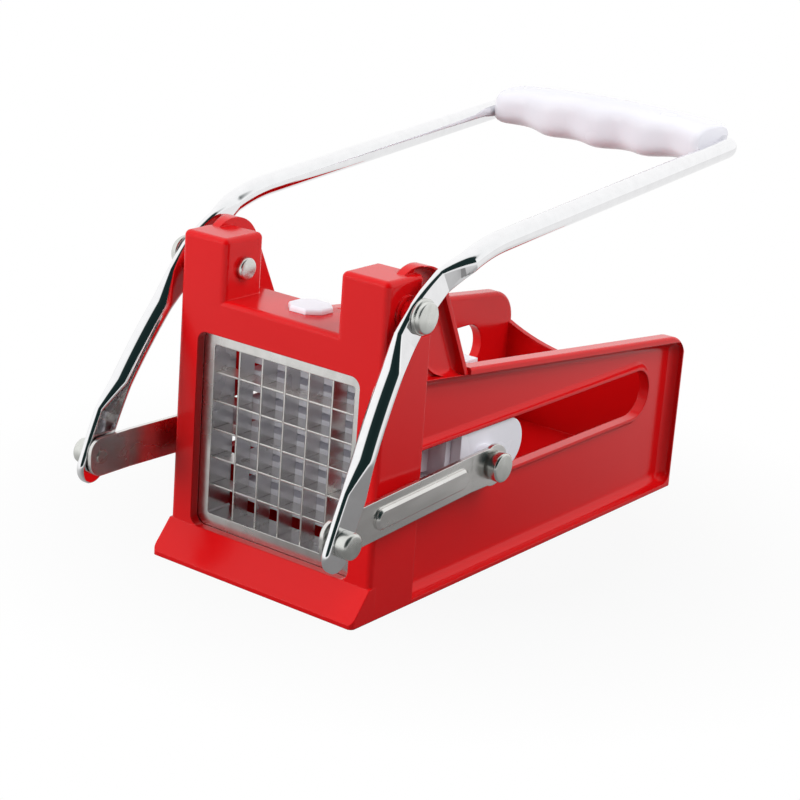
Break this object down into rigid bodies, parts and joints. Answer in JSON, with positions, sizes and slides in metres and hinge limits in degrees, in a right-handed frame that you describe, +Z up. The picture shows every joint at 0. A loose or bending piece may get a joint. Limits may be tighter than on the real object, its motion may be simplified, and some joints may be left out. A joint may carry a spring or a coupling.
{
  "type": "lever potato slicer",
  "caption": "Hand-lever slicer: a lever with side links drives a pegged pusher through a long body, so vegetables are cut into sticks by a grid of blades at the front.",
  "frame": {"origin": "middle of the base, on the surface that the slicer stands on", "axes": "+X to the right seen from the front, +Y from the outlet at the front to the hand grip at the rear, +Z up"},
  "size_m": [0.128, 0.2606, 0.1585],
  "materials": {
    "red_plastic": "semi-gloss",
    "white_plastic": "semi-gloss",
    "chrome": "polished",
    "rivet_steel": "zinc plated",
    "sheet_steel": "stamped sheet"
  },
  "bodies": {
    "frame": {"body_frame": "red_plastic", "blade_frame": "sheet_steel", "vertical_blade_1": "sheet_steel", "vertical_blade_2": "sheet_steel", "vertical_blade_3": "sheet_steel", "vertical_blade_4": "sheet_steel", "vertical_blade_5": "sheet_steel", "horizontal_blade_1": "sheet_steel", "horizontal_blade_2": "sheet_steel", "horizontal_blade_3": "sheet_steel", "horizontal_blade_4": "sheet_steel", "horizontal_blade_5": "sheet_steel", "pivot_rivet_left": "rivet_steel", "pivot_rivet_right": "rivet_steel", "pivot_spacer_left": "red_plastic", "pivot_spacer_right": "red_plastic"},
    "clip": {"blade_lock_clip": "white_plastic"},
    "lever": {"lever_tube": "chrome", "hand_grip": "white_plastic", "crank_rivet_left": "rivet_steel", "crank_rivet_right": "rivet_steel", "crank_washer_left": "rivet_steel", "crank_washer_right": "rivet_steel"},
    "link_left": {"link_left": "sheet_steel", "link_rivet_left": "rivet_steel"},
    "link_right": {"link_right": "sheet_steel", "link_rivet_right": "rivet_steel"},
    "pusher": {"pusher_carrier": "white_plastic", "pusher_plate": "white_plastic", "pusher_screws": "rivet_steel"}
  },
  "joints": [
    {"name": "lever_hinge", "type": "hinge", "parent": "frame", "child": "lever", "pos_m": [0, -0.09, 0.112], "axis": [1, 0, 0], "range_deg": [0, 66]},
    {"name": "pusher_slide", "type": "slide", "parent": "frame", "child": "pusher", "axis": [0, 1, 0], "range_m": [0, 0.08858]},
    {"name": "link_hinge_left", "type": "hinge", "parent": "lever", "child": "link_left", "pos_m": [0, -0.1317, 0.04233], "axis": [1, 0, 0], "range_deg": [-68.07, 0]},
    {"name": "link_hinge_right", "type": "hinge", "parent": "lever", "child": "link_right", "pos_m": [0, -0.1317, 0.04233], "axis": [1, 0, 0], "range_deg": [-68.07, 0]},
    {"name": "clip_slide", "type": "slide", "parent": "frame", "child": "clip", "axis": [0, 0, 1], "range_m": [0, 0.01]}
  ],
  "couplings": [
    {"joint": "pusher_slide", "follows": "lever_hinge", "m_per_rad": 0.076723},
    {"joint": "link_hinge_left", "follows": "lever_hinge", "ratio": -1.0283},
    {"joint": "link_hinge_right", "follows": "lever_hinge", "ratio": -1.0283}
  ]
}
